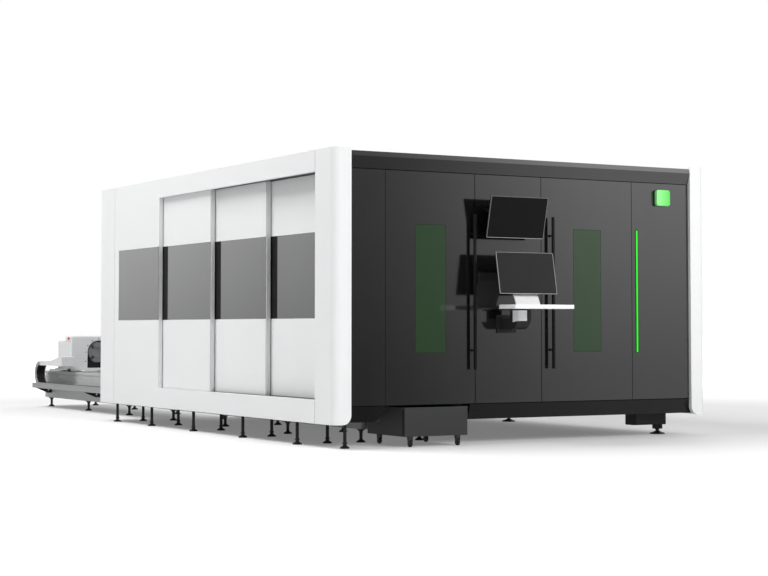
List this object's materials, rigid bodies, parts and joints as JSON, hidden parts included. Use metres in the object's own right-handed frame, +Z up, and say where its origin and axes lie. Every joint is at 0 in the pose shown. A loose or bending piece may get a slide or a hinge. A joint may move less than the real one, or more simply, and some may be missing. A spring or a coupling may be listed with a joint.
{
  "type": "fiber laser cutting machine",
  "caption": "Enclosed sheet cutting bed with sliding side doors, dark front doors, operator console, scrap trolley and a tube bed with a travelling chuck carriage at the rear.",
  "frame": {"origin": "on the floor, under the centre of the bounding box", "axes": "+Z up; -Y faces the operator at the dark front; +Y runs back along the tube bed, the longest extent; +X to the right of the operator"},
  "size_m": [3.765, 9.37, 2.4],
  "materials": {
    "white_sheet": "satin white powder coat",
    "dark_gloss": "high gloss anthracite",
    "side_glass": "dark tinted, smooth",
    "door_glass": "green tinted, smooth",
    "light_strip": "green, smooth",
    "green_tile": "green, smooth",
    "frame_paint": "dark grey structural paint",
    "bed_paint": "light grey structural paint",
    "foot_steel": "zinc plated",
    "slat_steel": "hot rolled",
    "rail_steel": "ground",
    "track_aluminium": "anodised",
    "chain_plastic": "matt black",
    "chuck_steel": "turned",
    "gantry_paint": "satin",
    "head_cover": "satin",
    "head_aluminium": "anodised",
    "hinge_steel": "satin",
    "handle_bar": "satin black",
    "console_white": "satin white",
    "screen_case": "gloss black",
    "button_red": "red, smooth",
    "trolley_paint": "dark grey",
    "fork_zinc": "zinc plated",
    "wheel_rubber": "grey rubber",
    "cabinet_paint": "light grey"
  },
  "bodies": {
    "machine": {"base_frame": "frame_paint", "bed_beams": "bed_paint", "chain_tray": "bed_paint", "console_brackets": "trolley_paint", "control_cabinet": "cabinet_paint", "corner_posts": "white_sheet", "door_hinges": "hinge_steel", "drag_chain": "chain_plastic", "fixed_side_glass": "side_glass", "fixed_side_panel": "white_sheet", "front_cap": "dark_gloss", "front_chuck_housing": "console_white", "front_fixed_panels": "dark_gloss", "front_skirts": "dark_gloss", "front_tile": "green_tile", "laser_source": "cabinet_paint", "levelling_feet": "foot_steel", "linear_rails": "rail_steel", "rear_wall_panels": "white_sheet", "right_wall_panels": "white_sheet", "roof_panels": "white_sheet", "side_door_tracks": "track_aluminium", "side_rails": "white_sheet", "slats": "slat_steel", "status_light": "light_strip", "tube_bed": "bed_paint"},
    "leaf_front": {"side_leaf_front": "white_sheet", "side_glass_front": "side_glass"},
    "leaf_middle": {"side_leaf_middle": "white_sheet", "side_glass_middle": "side_glass"},
    "leaf_rear": {"side_leaf_rear": "white_sheet", "side_glass_rear": "side_glass"},
    "door_left": {"left_door": "dark_gloss", "left_door_window": "door_glass", "left_door_handle": "handle_bar"},
    "door_right": {"right_door": "dark_gloss", "right_door_window": "door_glass", "right_door_handle": "handle_bar"},
    "gantry": {"gantry_beam": "gantry_paint", "gantry_ends": "gantry_paint"},
    "cross_carriage": {"head_carriage": "head_cover"},
    "head": {"cutting_head": "head_aluminium"},
    "tube_carriage": {"carriage_base": "frame_paint", "chuck_housing": "console_white", "motor_cover": "console_white", "chain_arm": "console_white"},
    "rear_chuck_body": {"rear_chuck": "chuck_steel"},
    "front_chuck_body": {"front_chuck": "chuck_steel"},
    "stop": {"stop_button": "button_red"},
    "console_table": {"keyboard_table": "console_white"},
    "screen_low": {"lower_monitor": "screen_case"},
    "screen_high": {"upper_monitor": "screen_case"},
    "trolley": {"trolley_bin": "trolley_paint", "rear_forks": "fork_zinc"},
    "fork_left": {"caster_fork_front_left": "fork_zinc"},
    "fork_right": {"caster_fork_front_right": "fork_zinc"},
    "wheel_fl": {"caster_wheel_front_left": "wheel_rubber"},
    "wheel_fr": {"caster_wheel_front_right": "wheel_rubber"},
    "wheel_rl": {"caster_wheel_rear_left": "wheel_rubber"},
    "wheel_rr": {"caster_wheel_rear_right": "wheel_rubber"}
  },
  "joints": [
    {"name": "side_front_leaf_slide", "type": "slide", "parent": "machine", "child": "leaf_front", "axis": [0, 1, 0], "range_m": [0, 3.255]},
    {"name": "side_middle_leaf_slide", "type": "slide", "parent": "machine", "child": "leaf_middle", "axis": [0, 1, 0], "range_m": [0, 2.17]},
    {"name": "side_rear_leaf_slide", "type": "slide", "parent": "machine", "child": "leaf_rear", "axis": [0, 1, 0], "range_m": [0, 1.085]},
    {"name": "left_door_hinge", "type": "hinge", "parent": "machine", "child": "door_left", "pos_m": [-1.3925, -4.1025, 1.3], "axis": [0, 0, -1], "range_deg": [0, 90]},
    {"name": "right_door_hinge", "type": "hinge", "parent": "machine", "child": "door_right", "pos_m": [1.0875, -4.1025, 1.3], "axis": [0, 0, 1], "range_deg": [0, 90]},
    {"name": "gantry_slide", "type": "slide", "parent": "machine", "child": "gantry", "axis": [0, 1, 0], "range_m": [-3.15, 0.2]},
    {"name": "head_cross_slide", "type": "slide", "parent": "gantry", "child": "cross_carriage", "axis": [1, 0, 0], "range_m": [-1.445, 0.85]},
    {"name": "head_lift", "type": "slide", "parent": "cross_carriage", "child": "head", "axis": [0, 0, -1], "range_m": [0, 0.14]},
    {"name": "tube_carriage_slide", "type": "slide", "parent": "machine", "child": "tube_carriage", "axis": [0, -1, 0], "range_m": [0, 5.5], "deforming": ["drag_chain"]},
    {"name": "rear_chuck_spin", "type": "hinge", "parent": "tube_carriage", "child": "rear_chuck_body", "pos_m": [-0.9275, 3.775, 0.675], "axis": [0, 1, 0], "continuous": true},
    {"name": "front_chuck_spin", "type": "hinge", "parent": "machine", "child": "front_chuck_body", "pos_m": [-0.9275, -2.485, 0.675], "axis": [0, 1, 0], "continuous": true},
    {"name": "stop_button_press", "type": "slide", "parent": "tube_carriage", "child": "stop", "axis": [1, 0, 0], "range_m": [0, 0.006], "stiffness_N_per_m": 1500},
    {"name": "console_swivel", "type": "hinge", "parent": "machine", "child": "console_table", "pos_m": [-0.2325, -4.325, 1.112], "axis": [0, 0, 1], "range_deg": [-20, 20]},
    {"name": "lower_screen_tilt", "type": "hinge", "parent": "console_table", "child": "screen_low", "pos_m": [-0.2325, -4.35409, 1.40023], "axis": [1, 0, 0], "range_deg": [-8, 5]},
    {"name": "upper_screen_tilt", "type": "hinge", "parent": "machine", "child": "screen_high", "pos_m": [-0.2325, -4.22469, 1.89061], "axis": [1, 0, 0], "range_deg": [-8, 8]},
    {"name": "trolley_slide", "type": "slide", "parent": "machine", "child": "trolley", "axis": [0, -1, 0], "range_m": [0, 0.9]},
    {"name": "fork_left_swivel", "type": "hinge", "parent": "trolley", "child": "fork_left", "pos_m": [-1.1675, -4.093, 0.086], "axis": [0, 0, 1], "continuous": true},
    {"name": "fork_right_swivel", "type": "hinge", "parent": "trolley", "child": "fork_right", "pos_m": [-0.7175, -4.093, 0.086], "axis": [0, 0, 1], "continuous": true},
    {"name": "wheel_front_left_spin", "type": "hinge", "parent": "fork_left", "child": "wheel_fl", "pos_m": [-1.1675, -4.113, 0.029], "axis": [1, 0, 0], "continuous": true},
    {"name": "wheel_front_right_spin", "type": "hinge", "parent": "fork_right", "child": "wheel_fr", "pos_m": [-0.7175, -4.113, 0.029], "axis": [1, 0, 0], "continuous": true},
    {"name": "wheel_rear_left_spin", "type": "hinge", "parent": "trolley", "child": "wheel_rl", "pos_m": [-1.1675, -3.61, 0.029], "axis": [1, 0, 0], "continuous": true},
    {"name": "wheel_rear_right_spin", "type": "hinge", "parent": "trolley", "child": "wheel_rr", "pos_m": [-0.7175, -3.61, 0.029], "axis": [1, 0, 0], "continuous": true}
  ],
  "couplings": [
    {"joint": "side_middle_leaf_slide", "follows": "side_front_leaf_slide", "ratio": 0.66667},
    {"joint": "side_rear_leaf_slide", "follows": "side_front_leaf_slide", "ratio": 0.33333},
    {"joint": "front_chuck_spin", "follows": "rear_chuck_spin", "ratio": 1}
  ]
}
